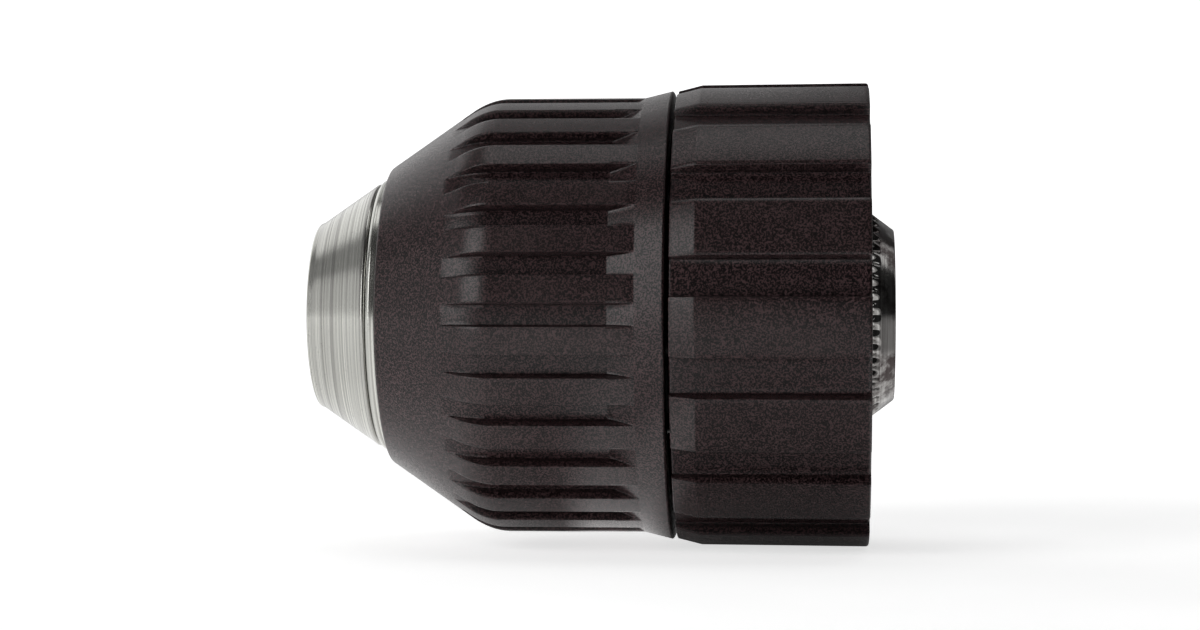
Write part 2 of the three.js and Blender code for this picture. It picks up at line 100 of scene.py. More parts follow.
def add_mesh(name, verts, faces, material, sharp=40):
    """A new object from vertices and faces, smooth but for edges over sharp degrees."""
    mesh = bpy.data.meshes.new(name)
    mesh.from_pydata(verts, [], faces)
    mesh.validate()
    work = bmesh.new()
    work.from_mesh(mesh)
    bmesh.ops.recalc_face_normals(work, faces=work.faces)
    if work.calc_volume(signed=True) < 0:
        bmesh.ops.reverse_faces(work, faces=work.faces)
    work.to_mesh(mesh)
    work.free()
    mesh.shade_smooth()
    mesh.set_sharp_from_angle(angle=rad(sharp))
    piece = bpy.data.objects.new(name, mesh)
    bpy.context.scene.collection.objects.link(piece)
    if material:
        mesh.materials.append(material)
    return piece


def grid_faces(rows, cols, wrap_rows=True):
    """Quads of a grid of rows by cols vertices, whose columns close on themselves."""
    i = np.arange(rows if wrap_rows else rows - 1)
    j = np.arange(cols)
    a, b = np.meshgrid(i, j, indexing="ij")
    c, d = (a + 1) % rows, (b + 1) % cols
    quads = np.stack([a * cols + b, a * cols + d, c * cols + d, c * cols + b], -1)
    return quads.reshape(-1, 4)


def ring(name, r, y, angles, material, sharp=40, marks=None):
    """A closed ring: r and y (rows, or rows by angles) of a section that closes on itself."""
    r, y = np.asarray(r, float), np.asarray(y, float)
    if r.ndim == 1:
        r = r[:, None]
    if y.ndim == 1:
        y = y[:, None]
    r, y, angles = np.broadcast_arrays(r, y, angles[None, :])
    verts = at(r, y, angles).reshape(-1, 3)
    piece = add_mesh(name, verts.tolist(), grid_faces(*r.shape).tolist(), material, sharp)
    for key, values in (marks or {}).items():
        values = np.broadcast_to(values, r.shape).reshape(-1).astype(np.float32)
        layer = piece.data.attributes.new(key, "FLOAT", "POINT")
        layer.data.foreach_set("value", values)
    return piece


def section(points, step=0.35):
    """Points along a closed or open outline [(r, y), ...], none further apart than step."""
    out = []
    for (r0, y0), (r1, y1) in zip(points, points[1:]):
        n = max(1, math.ceil(math.hypot(r1 - r0, y1 - y0) / step))
        out += [(r0 + (r1 - r0) * k / n, y0 + (y1 - y0) * k / n) for k in range(n)]
    return out + [points[-1]]


def arc(rc, yc, radius, start, end, n):
    """Points of an arc about (rc, yc); its angles are from +r towards +y, in degrees."""
    return [
        (rc + radius * math.cos(rad(a)), yc + radius * math.sin(rad(a)))
        for a in np.linspace(start, end, n + 1)
    ]


def full_turn(n):
    """Angles of n even steps round the axis."""
    return np.arange(n) * 2 * math.pi / n


# ------------------------------------------------------------------ node helpers


def new_material(name):
    """A node material, its tree and its Principled shader."""
    material = bpy.data.materials.new(name)
    material.use_nodes = True
    tree = material.node_tree
    shader = tree.nodes["Principled BSDF"]
    return material, tree, shader


class Nodes:
    """Short calls for making shader nodes in one tree."""

    def __init__(self, tree):
        self.tree = tree

    def add(self, kind, **settings):
        node = self.tree.nodes.new(kind)
        for key, value in settings.items():
            setattr(node, key, value)
        return node

    def link(self, a, b):
        self.tree.links.new(a, b)

    def coords(self, scale):
        """Object coordinates multiplied by a scale for each axis."""
        source = self.add("ShaderNodeTexCoord")
        mapping = self.add("ShaderNodeMapping")
        mapping.inputs["Scale"].default_value = scale
        self.link(source.outputs["Object"], mapping.inputs["Vector"])
        return mapping.outputs["Vector"]

    def noise(self, vector, scale, detail=2.0, rough=0.5):
        node = self.add("ShaderNodeTexNoise")
        node.inputs["Scale"].default_value = scale
        node.inputs["Detail"].default_value = detail
        node.inputs["Roughness"].default_value = rough
        self.link(vector, node.inputs["Vector"])
        return node.outputs["Fac"]

    def attribute(self, name):
        return self.add("ShaderNodeAttribute", attribute_name=name).outputs["Fac"]

    def math(self, operation, a, b=None, clamp=False):
        node = self.add("ShaderNodeMath", operation=operation, use_clamp=clamp)
        for socket, value in zip(node.inputs, (a, b)):
            if value is None:
                continue
            if isinstance(value, (int, float)):
                socket.default_value = value
            else:
                self.link(value, socket)
        return node.outputs["Value"]

    def spread(self, value, low, high, to_low, to_high):
        node = self.add("ShaderNodeMapRange")
        self.link(value, node.inputs["Value"])
        limits = {"From Min": low, "From Max": high, "To Min": to_low, "To Max": to_high}
        for key, number in limits.items():
            node.inputs[key].default_value = number
        return node.outputs["Result"]

    def ramp(self, value, stops):
        node = self.add("ShaderNodeValToRGB")
        self.link(value, node.inputs["Fac"])
        ramp = node.color_ramp
        while len(ramp.elements) < len(stops):
            ramp.elements.new(0.5)
        for element, (place, colour) in zip(ramp.elements, stops):
            element.position = place
            element.color = (*colour, 1.0)
        return node.outputs["Color"]

    def mix(self, factor, a, b, blend="MIX"):
        node = self.add("ShaderNodeMix", data_type="RGBA", blend_type=blend)
        sockets = {s.identifier: s for s in node.inputs}
        pairs = (("Factor_Float", factor), ("A_Color", a), ("B_Color", b))
        for key, value in pairs:
            if isinstance(value, (int, float)):
                sockets[key].default_value = value
            elif isinstance(value, tuple):
                sockets[key].default_value = (*value, 1.0)
            else:
                self.link(value, sockets[key])
        return next(s for s in node.outputs if s.identifier == "Result_Color")

    def bump(self, height, distance, strength=1.0, normal=None):
        node = self.add("ShaderNodeBump")
        node.inputs["Distance"].default_value = distance
        node.inputs["Strength"].default_value = strength
        self.link(height, node.inputs["Height"])
        if normal is not None:
            self.link(normal, node.inputs["Normal"])
        return node.outputs["Normal"]


# ------------------------------------------------------------------ materials


def plastic():
    """Charcoal glass-filled nylon with a spark-eroded grain, paler along rounded edges as a painted
    highlight, and darker at the foot of the groove walls as painted shade.
    """
    material, tree, shader = new_material("charcoal_plastic")
    n = Nodes(tree)
    vector = n.coords((1, 1, 1))
    grain = n.noise(vector, 6200, 2.0, 0.6)
    fleck = n.noise(vector, 9500, 2.0, 0.6)
    cloud = n.noise(vector, 130, 3.0, 0.5)
    shades = [
        (0.42, (0.0018, 0.0003, 0.0005)),
        (0.5, (0.0105, 0.0042, 0.0048)),
        (0.59, (0.074, 0.045, 0.047)),
    ]
    colour = n.ramp(grain, shades)
    sparks = n.spread(fleck, 0.66, 0.78, 0.0, 0.4)
    colour = n.mix(sparks, colour, (0.12, 0.098, 0.094))
    tone = n.ramp(cloud, [(0.3, (0.90, 0.90, 0.90)), (0.7, (1.08, 1.07, 1.06))])
    colour = n.mix(1.0, colour, tone, "MULTIPLY")
    # Painted highlight: rounded edges get a paler colour, patchy with the cloud noise.
    edge_highlight = n.attribute("edge_highlight")
    painted_highlight = n.math("MULTIPLY", edge_highlight, n.spread(cloud, 0.35, 0.7, 0.05, 0.35), clamp=True)
    colour = n.mix(painted_highlight, colour, (0.060, 0.048, 0.047))
    # Painted shade: the foot of the groove walls is mixed towards near-black.
    crease_shade = n.attribute("crease_shade")
    painted_shade = n.math("MULTIPLY", crease_shade, n.spread(cloud, 0.3, 0.75, 0.9, 0.55), clamp=True)
    colour = n.mix(painted_shade, colour, (0.004, 0.003, 0.003))
    n.link(colour, shader.inputs["Base Color"])
    rough = n.spread(grain, 0.38, 0.62, 0.34, 0.26)
    n.link(rough, shader.inputs["Roughness"])
    shader.inputs["Specular IOR Level"].default_value = 0.36
    fine = n.bump(fleck, 0.0000025, 0.7)
    n.link(n.bump(grain, 0.000010, 0.7, fine), shader.inputs["Normal"])
    return material


def turned_steel():
    """Bright turned steel: fine rings cut around the axis, with a few deeper ones."""
    material, tree, shader = new_material("turned_steel")
    n = Nodes(tree)
    lines = n.noise(n.coords((7000, 16, 16)), 1.0, 3.0, 0.7)
    wide = n.noise(n.coords((1700, 5, 5)), 1.0, 2.0, 0.5)
    flecks = n.noise(n.coords((1, 1, 1)), 3600, 3.0, 0.6)
    patches = n.noise(n.coords((1, 1, 1)), 210, 3.0, 0.5)
    shades = [
        (0.28, (0.30, 0.29, 0.28)),
        (0.5, (0.60, 0.60, 0.58)),
        (0.70, (0.84, 0.84, 0.81)),
    ]
    colour = n.ramp(lines, shades)
    tints = [
        (0.36, (0.64, 0.63, 0.62)),
        (0.5, (0.93, 0.93, 0.90)),
        (0.64, (1.0, 1.0, 0.97)),
    ]
    tint = n.ramp(wide, tints)
    colour = n.mix(1.0, colour, tint, "MULTIPLY")
    flecked = n.spread(flecks, 0.6, 0.76, 0.0, 0.6)
    spots = n.math("MULTIPLY", flecked, n.spread(patches, 0.42, 0.65, 0.0, 1.0), clamp=True)
    colour = n.mix(spots, colour, (0.16, 0.145, 0.135))
    n.link(colour, shader.inputs["Base Color"])
    shader.inputs["Metallic"].default_value = 1.0
    rough = n.spread(lines, 0.25, 0.75, 0.30, 0.15)
    rough = n.math("ADD", rough, n.math("MULTIPLY", spots, 0.2))
    n.link(rough, shader.inputs["Roughness"])
    coarse = n.bump(wide, 0.00001, 0.8)
    n.link(n.bump(lines, 0.000004, 0.8, coarse), shader.inputs["Normal"])
    return material


def dark_steel():
    """Hardened steel with a blackened, lightly oiled surface."""
    material, tree, shader = new_material("dark_steel")
    n = Nodes(tree)
    vector = n.coords((1, 1, 1))
    mottle = n.noise(vector, 520, 5.0, 0.6)
    fine = n.noise(vector, 6500, 3.0, 0.6)
    shades = [
        (0.3, (0.10, 0.098, 0.096)),
        (0.55, (0.17, 0.166, 0.16)),
        (0.8, (0.30, 0.29, 0.275)),
    ]
    colour = n.ramp(mottle, shades)
    speckle = n.ramp(fine, [(0.3, (0.08, 0.08, 0.08)), (0.7, (0.26, 0.255, 0.25))])
    colour = n.mix(0.35, colour, speckle)
    n.link(colour, shader.inputs["Base Color"])
    shader.inputs["Metallic"].default_value = 1.0
    n.link(n.spread(mottle, 0.3, 0.75, 0.24, 0.46), shader.inputs["Roughness"])
    n.link(n.bump(fine, 0.000006, 0.7), shader.inputs["Normal"])
    return material


def tail_steel():
    """Machined steel of the tail: darker, with cutter rings and oil stains."""
    material, tree, shader = new_material("tail_steel")
    n = Nodes(tree)
    lines = n.noise(n.coords((5200, 90, 90)), 1.0, 4.0, 0.7)
    stains = n.noise(n.coords((1, 1, 1)), 260, 5.0, 0.65)
    shades = [
        (0.3, (0.16, 0.15, 0.145)),
        (0.55, (0.34, 0.33, 0.32)),
        (0.8, (0.60, 0.59, 0.57)),
    ]
    colour = n.ramp(lines, shades)
    colour = n.mix(n.spread(stains, 0.46, 0.56, 0.0, 0.9), colour, (0.030, 0.020, 0.020))
    n.link(colour, shader.inputs["Base Color"])
    shader.inputs["Metallic"].default_value = 1.0
    n.link(n.spread(stains, 0.3, 0.7, 0.10, 0.20), shader.inputs["Roughness"])
    n.link(n.bump(lines, 0.000008, 0.8), shader.inputs["Normal"])
    return material


def ground_steel():
    """Ground and polished bearing steel."""
    material, tree, shader = new_material("ground_steel")
    n = Nodes(tree)
    lap = n.noise(n.coords((1500, 4200, 4200)), 1.0, 3.0, 0.6)
    cloud = n.noise(n.coords((1, 1, 1)), 700, 3.0, 0.5)
    colour = n.ramp(lap, [(0.3, (0.55, 0.555, 0.56)), (0.7, (0.74, 0.745, 0.75))])
    n.link(colour, shader.inputs["Base Color"])
    shader.inputs["Metallic"].default_value = 1.0
    n.link(n.spread(cloud, 0.3, 0.7, 0.10, 0.22), shader.inputs["Roughness"])
    n.link(n.bump(lap, 0.000002, 0.6), shader.inputs["Normal"])
    return material


def cage_brass():
    """Stamped brass strip, slightly tarnished."""
    material, tree, shader = new_material("cage_brass")
    n = Nodes(tree)
    tarnish = n.noise(n.coords((1, 1, 1)), 420, 5.0, 0.6)
    fine = n.noise(n.coords((1, 1, 1)), 5200, 3.0, 0.6)
    shades = [
        (0.3, (0.36, 0.22, 0.07)),
        (0.55, (0.62, 0.44, 0.17)),
        (0.8, (0.78, 0.60, 0.28)),
    ]
    colour = n.ramp(tarnish, shades)
    n.link(colour, shader.inputs["Base Color"])
    shader.inputs["Metallic"].default_value = 1.0
    n.link(n.spread(tarnish, 0.3, 0.7, 0.42, 0.24), shader.inputs["Roughness"])
    n.link(n.bump(fine, 0.000005, 0.7), shader.inputs["Normal"])
    return material


PLASTIC = plastic()
TURNED = turned_steel()
TAIL = tail_steel()
DARK = dark_steel()
GROUND = ground_steel()
BRASS = cage_brass()

# ------------------------------------------------------------------ front sleeve

# Sizes in millimetres. From the seam forward: flare, level land, rounded shoulder, cone.
FRONT_RIBS = 28
CONE_SLOPE = 0.685
CONE_R, CONE_REF_Y = 14.25, 45.77
LAND_R = 20.17
FLARE_END_Y = 22.88
BLEND_Y = 35.42
CONE_Y = 38.87
FLOOR_R = 19.15
FLOOR_DROP_Y = 35.9
GROOVE_END_Y = 41


def rib_columns(count, centre, land_half, period_half, wall):
    """Angles about the axis with close columns at each land's walls, and the land share there."""
    near = land_half + wall
    offsets = [0.0, 0.5 * land_half, 0.82 * land_half]
    shares = [1.0, 1.0, 1.0]
    steps = np.linspace(-0.28, 1.28, 12)
    for s in steps:
        offsets.append(land_half + wall * s)
        shares.append(edge_share(s))
    offsets += [near + 0.42 * (period_half - near), near + 0.72 * (period_half - near), period_half]
    shares += [0.0, 0.0, 0.0]
    half = list(zip(offsets, shares))
    period = [(-o, w) for o, w in half[1:][::-1]][1:] + half
    angles, share = [], []
    for k in range(count):
        for o, w in period:
            angles.append(centre + 2 * math.pi * k / count + o)
            share.append(w)
    return np.array(angles), np.array(share)


def edge_share(s):
    """Height share across a wall that starts at s = 0 and ends at s = 1, with round corners."""
    r = 0.28
    if s <= -r:
        return 1.0
    if s >= 1 + r:
        return 0.0
    if s < r:
        return 1.0 - (s + r) ** 2 / (4 * r)
    if s > 1 - r:
        return (1 + r - s) ** 2 / (4 * r)
    return 1.0 - s


def front_land(y):
    """Outer radius over the front sleeve's lands."""
    y = np.asarray(y, float)
    flare = LAND_R + 0.245 * np.clip(FLARE_END_Y - y, 0, 9)
    shoulder = LAND_R - 0.0995 * (y - BLEND_Y) ** 2
    cone = front_cone(y)
    return np.where(y < BLEND_Y, flare, np.where(y < CONE_Y, shoulder, cone))


def front_cone(y):
    """Radius of the front sleeve's cone."""
    return CONE_R + CONE_SLOPE * (CONE_REF_Y - y)


def front_floor(y):
    """Radius of the front sleeve's groove floors."""
    y = np.asarray(y, float)
    ramp = np.maximum(FLOOR_R, LAND_R - 0.4286 * (y - FLARE_END_Y))
    front = FLOOR_R - 0.056 * np.clip(y - FLOOR_DROP_Y, 0, 9) ** 2
    floor = np.where(y < 30, ramp, np.where(y < GROOVE_END_Y, front, 99))
    return np.minimum(floor, front_land(y))


def crest_highlight(share):
    """Painted highlight along the rounded corners of the lands, from each column's land share."""
    return np.exp(-(((share - 0.93) / 0.12) ** 2))


def groove_shade(share):
    """Painted shade at the foot of the walls, from each column's land share."""
    rise = np.abs(np.gradient(share))
    return np.clip(rise / rise.max(), 0, 1) * (share < 0.35)


def front_sleeve():
    """The front sleeve: ribs outside, and the stepped hollow that holds nut and bearing."""
    period = 2 * math.pi / FRONT_RIBS
    angles, share = rib_columns(
        FRONT_RIBS, rad(-90) + period / 2, rad(3.52), period / 2, rad(0.30)
    )
    heights = np.concatenate(
        [
            np.linspace(20.42, 22.7, 4),
            np.linspace(22.8, 22.96, 3),
            np.linspace(23.3, 25.0, 6),
            np.linspace(25.2, 25.36, 3),
            np.linspace(26.0, 34.4, 7),
            np.linspace(34.7, 40.2, 26),
            np.linspace(40.8, 46.2, 5),
        ]
    )
    land, floor = front_land(heights), front_floor(heights)
    depth = land - floor
    outer_r = land[:, None] - depth[:, None] * (1 - share)[None, :]
    outer_y = np.repeat(heights[:, None], len(angles), 1)
    tip = [(front_cone(46.3), 46.3), (13.8, 46.38), (13.72, 46.42), (13.6, 46.44)]
    inner = tip + section([(13.3, 46.44), (11.85, 46.44)], 0.8)
    inner += arc(11.85, 46.24, 0.2, 90, 180, 4)[1:]
    lip_r = front_cone(44.8) - 2.35
    inner += section([(11.65, 46.0), (11.65, 44.8), (lip_r, 44.8), (16.35, 40.4)], 2.5)
    inner += section([(16.35, 40.2), (16.35, 22.5), (17.6, 21.2), (17.6, 20.24)], 6.0)
    inner += section([(17.8, 20.24), (20.62, 20.24)], 1.5)
    inner += arc(20.62, 20.42, 0.16, -90, 0, 4)[1:]
    inner = np.array(inner)
    rest_r = np.repeat(inner[:, :1], len(angles), 1)
    rest_y = np.repeat(inner[:, 1:], len(angles), 1)
    r, y = np.concatenate([outer_r, rest_r]), np.concatenate([outer_y, rest_y])
    edge_highlight, crease_shade = np.zeros_like(r), np.zeros_like(r)
    last = len(heights)
    # Painted highlight along the land corners, and on the cone's front edge in the next line.
    edge_highlight[:last] = crest_highlight(share)[None, :] * np.clip(depth / 0.6, 0, 1)[:, None]
    edge_highlight[last : last + len(tip)] = 0.5
    # Painted shade at the foot of the groove walls.
    crease_shade[:last] = groove_shade(share)[None, :] * np.clip(depth / 0.8, 0, 1)[:, None] * 0.8
    marks = {"edge_highlight": edge_highlight, "crease_shade": crease_shade}
    piece = ring("front_sleeve_shell", r, y, angles, PLASTIC, 50, marks)
    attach(piece, "sleeve")
    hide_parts("front_sleeve")


# ------------------------------------------------------------------ rear sleeve

REAR_LANDS = 15
REAR_FLOOR_R = 20.3
REAR_BACK_Y = 2.35
REAR_FRONT_Y = 19.84
BACK_ROUND = 0.28
FRONT_ROUND = 0.15


def rear_land(y):
    """Outer radius over the rear sleeve's lands."""
    y = np.asarray(y, float)
    barrel = 21.42 - 0.1 * (y - REAR_BACK_Y) / 15.2
    chamfer = 21.32 - 0.25 * (y - 17.6)
    return np.minimum(barrel, chamfer)


def rear_sleeve():
    """The rear sleeve: broad lands outside, rounded rims, and rings moulded on its back face."""
    period = 2 * math.pi / REAR_LANDS
    angles, share = rib_columns(REAR_LANDS, rad(-92.9), rad(7.12), period / 2, rad(0.36))
    heights = np.concatenate(
        [
            np.linspace(19.69, 17.75, 14),
            np.linspace(17.66, 17.5, 3),
            np.linspace(17.0, 3.2, 24),
            np.linspace(3.0, 2.7, 3),
        ]
    )
    land = rear_land(heights)
    floor = np.full_like(heights, REAR_FLOOR_R)
    outer_r = floor[:, None] + (land - floor)[:, None] * share[None, :]
    outer_y = np.repeat(heights[:, None], len(angles), 1)
    back_edge = outer_r[-1]
    turn = np.linspace(0, math.pi / 2, 7)[1:]
    edge_r = back_edge[None, :] - BACK_ROUND * (1 - np.cos(turn))[:, None]
    edge_y = np.repeat((2.63 - BACK_ROUND * np.sin(turn))[:, None], len(angles), 1)
    front_edge = outer_r[0]
    lead_r = front_edge[None, :] - FRONT_ROUND * (1 - np.cos(turn))[::-1][:, None]
    lead_y = np.repeat((19.69 + FRONT_ROUND * np.sin(turn))[::-1][:, None], len(angles), 1)
    blend = np.linspace(0, 1, 6)[1:-1]
    face_r = (back_edge - BACK_ROUND)[None, :] * (1 - blend)[:, None] + 19.3 * blend[:, None]
    face_y = np.full_like(face_r, REAR_BACK_Y)
    inner = section([(19.3, REAR_BACK_Y), (18.95, REAR_BACK_Y)], 0.2)
    inner += arc(18.95, 2.5, 0.15, -90, -170, 4)[1:]
    inner += section([(18.7, 2.83), (18.55, 2.95), (13.6, 2.95), (13.45, 2.83)], 0.6)
    bore = [(13.3, 2.48), (13.15, REAR_BACK_Y), (9.7, REAR_BACK_Y), (9.42, 2.58)]
    inner += section(bore, 0.6)
    hollow = [(9.42, 9.6), (12.2, 9.6), (12.2, 5.0), (18.4, 5.0), (18.4, REAR_FRONT_Y)]
    inner += section(hollow, 1.8)
    inner += section([(18.7, REAR_FRONT_Y), (19.9, REAR_FRONT_Y)], 0.5)
    inner = np.array(inner)
    rest_r = np.repeat(inner[:, :1], len(angles), 1)
    rest_y = np.repeat(inner[:, 1:], len(angles), 1)
    r = np.concatenate([lead_r, outer_r, edge_r, face_r, rest_r])
    y = np.concatenate([lead_y, outer_y, edge_y, face_y, rest_y])
    edge_highlight, crease_shade = np.zeros_like(r), np.zeros_like(r)
    first = len(turn)
    last = first + len(heights)
    # Painted highlight along the land corners and the rounded back rim.
    edge_highlight[first:last] = crest_highlight(share)[None, :] * 0.8
    edge_highlight[last : last + len(turn)] = (0.55 * share)[None, :]
    # Painted shade at the foot of the groove walls.
    crease_shade[first:last] = groove_shade(share)[None, :] * 0.8
    marks = {"edge_highlight": edge_highlight, "crease_shade": crease_shade}
    piece = ring("rear_sleeve_shell", r, y, angles, PLASTIC, 50, marks)
    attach(piece, "body")
    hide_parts("rear_sleeve")


# ------------------------------------------------------------------ steel pieces


def cut(piece, cutters, operation="DIFFERENCE"):
    """Applies an exact boolean of each cutter to a piece, and removes the cutters."""
    for cutter in cutters:
        tool = piece.modifiers.new("cut", "BOOLEAN")
        tool.operation = operation
        tool.solver = "EXACT"
        tool.object = cutter
        bpy.context.view_layer.objects.active = piece
        bpy.ops.object.modifier_apply(modifier=tool.name)
        bpy.data.objects.remove(cutter, do_unlink=True)


# The jaws slide at JAW_TILT to the axis; their tips lie at CLOSED_TIP_Y when they meet.
JAW_TILT = rad(17.5)
JAW_SLOPE = math.tan(JAW_TILT)
JAW_R = 3.1
BORE_R = 3.28
GRIP_R = 5.05
CLOSED_TIP_Y = 59
CLOSED_GRIP_R = 0.4
JAW_LENGTH_Y = 27
TRAVEL_Y = (GRIP_R - CLOSED_GRIP_R) / JAW_SLOPE
TIP_Y = CLOSED_TIP_Y - TRAVEL_Y
TAIL_Y = TIP_Y - JAW_LENGTH_Y
THREAD_PITCH = 1.5
ROD_RINGS = 9


def jaw_centre(y):
    """Distance of a jaw's centre line from the chuck axis."""
    return -1 + (CLOSED_TIP_Y - y) * JAW_SLOPE


def jaw_outline(y):
    """Distance of a jaw's outer line from the chuck axis."""
    return jaw_centre(y) + JAW_R / math.cos(JAW_TILT)


def jaw_rod(name, radius, start, end, angle, facets, material=None):
    """A closed cylinder along a jaw's centre line."""
    turn = full_turn(facets)
    rows = []
    for y in np.linspace(start, end, ROD_RINGS):
        across = radius * np.sin(turn)
        up = radius * np.cos(turn)
        local_y = y + up * math.sin(JAW_TILT)
        local_z = jaw_centre(y) + up * math.cos(JAW_TILT)
        x = across * math.cos(angle) + local_z * math.sin(angle)
        z = local_z * math.cos(angle) - across * math.sin(angle)
        rows.append(np.stack([-local_y, x, z], -1) * MM)
    verts = np.concatenate(rows)
    faces = grid_faces(ROD_RINGS, facets, wrap_rows=False).tolist()
    faces.append(list(range(facets)))
    faces.append([(ROD_RINGS - 1) * facets + k for k in range(facets)])
    return add_mesh(name, verts.tolist(), faces, material)


def body():
    """The steel body: nose, journal and flange, with its bores; and the knurled, tapped tail."""
    outline = [(7.9, 53.5)] + arc(8.2, 53.0, 0.5, 90, 36, 6)
    outline += section([(8.72, 52.98), (12.22, 47.88)], 0.25)
    outline += [(12.25, 47.8), (12.23, 47.7), (12.15, 47.58), (12.05, 47.54)]
    outline += section([(11.25, 47.54), (11.25, 46.5), (11.4, 46.5), (11.4, 37.6), (8.0, 37.6)], 0.9)
    outline += section([(8.0, 31.05), (12.6, 31.05), (12.6, 27.0), (15.8, 27.0), (15.8, 23.3)], 0.9)
    outline += section([(15.5, 23.0), (12.0, 23.0), (9.2, 17.0), (9.2, 10.9), (8.6, 10.4)], 0.9)
    outline += section([(4.9, 10.4), (2.9, 10.4), (2.9, 21.3), (5.2, 22.6), (5.2, 53.05)], 0.9)
    outline += section([(5.26, 53.17), (5.55, 53.45), (5.7, 53.5), (7.6, 53.5)], 0.25)
    points = np.array(outline)
    front = ring("chuck_body_front", points[:, 0], points[:, 1], full_turn(160), TURNED, 30)
    bores = [jaw_rod("bore", BORE_R, 8, 57, 2 * math.pi * k / 3, 72) for k in range(3)]
    cut(front, bores)
    front.data.set_sharp_from_angle(angle=rad(30))
    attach(front, "body")
    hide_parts("chuck_body")

    teeth, per = 44, 8
    angles = full_turn(teeth * per)
    phase = (np.arange(teeth * per) % per) / per
    tooth = 1 - np.abs(2 * phase - 1)
    rows_r, rows_y = [], []

    def row(r, y):
        rows_r.append(np.broadcast_to(np.asarray(r, float), angles.shape))
        rows_y.append(np.broadcast_to(np.asarray(y, float), angles.shape))

    root, crest = 8.88, 9.38
    chamfer = 1.33
    row(5.6, 0.0)
    row(6.9, 0.0)
    for a in np.linspace(0, 52, 6):
        row(7.72 + 0.25 * math.sin(rad(a)), 0.25 - 0.25 * math.cos(rad(a)))
    for r in np.arange(8.0, root, 0.12):
        row(r, 0.1 + (r - 7.92) * chamfer)
    tip = root + (crest - root) * np.clip(1.6 * tooth - 0.3, 0, 1)
    for share in np.linspace(0.02, 1, 7):
        r = root + (tip - root) * share
        row(r, 0.1 + (root + (crest - root) * share - 7.92) * chamfer)
    for y in (2.3, 4.0, 10.2):
        row(tip, y)
    for r in (8.0, 6.5, 4.9):
        row(r, 10.3)
    row(4.9, 15.0)
    row(3.0, 15.6)
    row(3.0, 14.9)
    pitch = 25.4 / 24
    for y in np.arange(14.8, 0.9, -0.07):
        wave = np.abs(((y / pitch - angles / (2 * math.pi)) % 1.0) * 2 - 1)
        depth = 0.5 * np.clip((1.08 - wave * 1.25), 0, 1)
        fade = smooth((14.6 - y) / 0.8)
        row(4.26 + depth * fade, y)
    for r, y in ((4.32, 0.8), (4.6, 0.45), (4.95, 0.1), (5.1, 0.0)):
        row(r, y)
    r, y = np.array(rows_r), np.array(rows_y)
    tail = ring("chuck_body_tail", r, y, angles, TAIL, 35)
    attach(tail, "body")
    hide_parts("chuck_body")


def nose_ring():
    """The ring in the groove behind the nose cone."""
    outline = [(11.34, 46.57), (12.5, 46.55)] + arc(12.55, 46.65, 0.1, -60, 0, 4)
    outline += section([(12.65, 46.72), (12.65, 47.05)], 0.1)
    outline += arc(12.5, 47.08, 0.15, 0, 50, 4) + section([(12.58, 47.23), (12.42, 47.4)], 0.1)
    outline += [(12.34, 47.45), (12.2, 47.48), (11.9, 47.48)]
    outline += [(11.4, 47.48), (11.34, 47.42), (11.34, 47.0)]
    points = np.array(outline)
    piece = ring("nose_ring_turned", points[:, 0], points[:, 1], full_turn(256), TURNED, 50)
    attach(piece, "body")
    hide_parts("nose_ring")


# ------------------------------------------------------------------ jaws


def prism(name, outline, start, end):
    """A closed prism along the chuck axis; the outline is (x, z) seen along it."""
    n = len(outline)
    verts = [(-y * MM, x * MM, z * MM) for y in (start, end) for x, z in outline]
    faces = [[k, (k + 1) % n, n + (k + 1) % n, n + k] for k in range(n)]
    faces += [list(range(n)), [n + k for k in range(n)]]
    return add_mesh(name, verts, faces, None)


def jaw_sector(angle):
    """The wedge that a jaw fills when open: a gripping land between two flat sides."""
    apex, spread = 4.65 + 0.17, math.tan(math.pi / 3)
    land = (GRIP_R - apex) * spread
    half, top = 8, 20
    corner = apex + half / spread
    points = [(-land, GRIP_R), (land, GRIP_R), (half, corner)]
    points += [(half, top), (-half, top), (-half, corner)]
    c, s = math.cos(angle), math.sin(angle)
    turned = [(x * c + z * s, z * c - x * s) for x, z in points]
    return prism("sector", turned, TAIL_Y - 5, TIP_Y)


def tooth_gaps(angle):
    """All the gaps between a jaw's teeth, as one cutter of separate bars."""
    nut_back, nut_front = 31.25, 37.4
    middle = (nut_back + nut_front) / 2
    arc_r = jaw_outline(middle)
    depth, crest, root = 0.8, 0.27, 0.495
    above = 0.7
    flare = root + (root - crest) * above / depth
    shape = [(-depth, -crest), (above, -flare), (above, flare), (-depth, crest)]
    base = 30 + THREAD_PITCH * angle / (2 * math.pi)
    first = math.ceil((TAIL_Y + 0.6 - base) / THREAD_PITCH)
    last = math.floor((nut_front + 0.8 - base) / THREAD_PITCH)
    steps = 9
    verts, faces = [], []
    for k in range(first, last + 1):
        y0 = base + THREAD_PITCH * k
        shift = jaw_outline(y0) - arc_r
        start = len(verts)
        for t in np.linspace(-0.3, 0.3, steps):
            for dr, dy in shape:
                r = arc_r + dr
                x = r * math.sin(angle + t) + shift * math.sin(angle)
                z = r * math.cos(angle + t) + shift * math.cos(angle)
                y = y0 + dy + THREAD_PITCH * t / (2 * math.pi)
                verts.append((-y * MM, x * MM, z * MM))
        quads = grid_faces(steps, 4, wrap_rows=False) + start
        faces += quads.tolist()
        faces.append([start + j for j in range(4)])
        faces.append([start + (steps - 1) * 4 + j for j in range(4)])
    return add_mesh("gaps", verts, faces, None)


